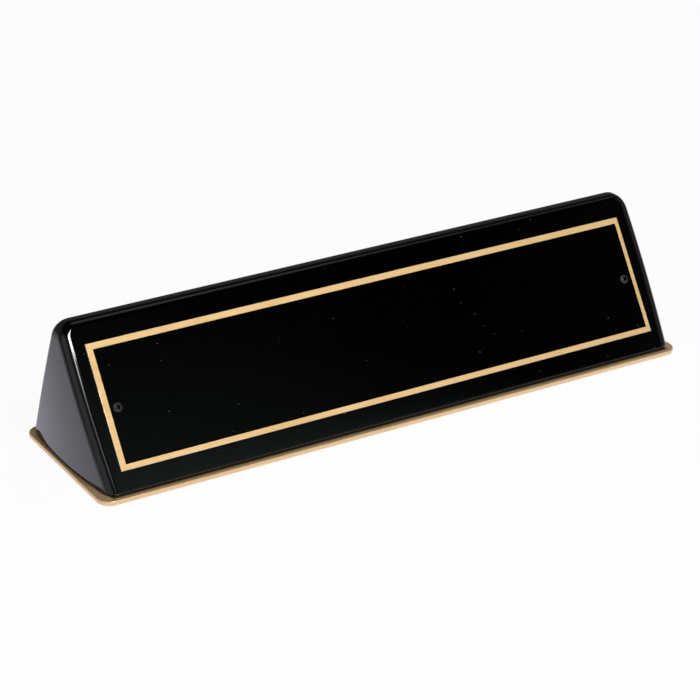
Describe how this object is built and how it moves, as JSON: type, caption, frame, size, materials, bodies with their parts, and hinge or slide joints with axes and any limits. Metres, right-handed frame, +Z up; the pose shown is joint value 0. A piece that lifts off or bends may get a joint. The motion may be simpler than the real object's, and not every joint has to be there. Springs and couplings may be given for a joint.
{
  "type": "desk name plate",
  "caption": "Black lacquered wedge-shaped desk name plate with a bare brass-rimmed engraving plate, on a thin polished brass base with rubber feet.",
  "frame": {"origin": "on the surface it stands on, under the middle of the base plate", "axes": "+X along the length to the reader's right, +Y from the sloping front face to the back, +Z up"},
  "size_m": [0.2748, 0.075, 0.0624],
  "materials": {
    "black_lacquer": "black gloss lacquer on hardwood",
    "black_coated_brass": "black gloss coat on brass sheet, bare satin brass rim",
    "polished_brass": "polished",
    "black_screw": "black oxide",
    "zinc_screw": "bright zinc",
    "rubber": "matt moulded"
  },
  "bodies": {
    "root": {"wedge_block": "black_lacquer", "name_plate": "black_coated_brass", "base_plate": "polished_brass", "plate_screw_left": "black_screw", "plate_screw_right": "black_screw", "base_screw_left": "zinc_screw", "base_screw_middle": "zinc_screw", "base_screw_right": "zinc_screw", "foot_front_left": "rubber", "foot_front_right": "rubber", "foot_back_left": "rubber", "foot_back_right": "rubber"}
  },
  "joints": []
}
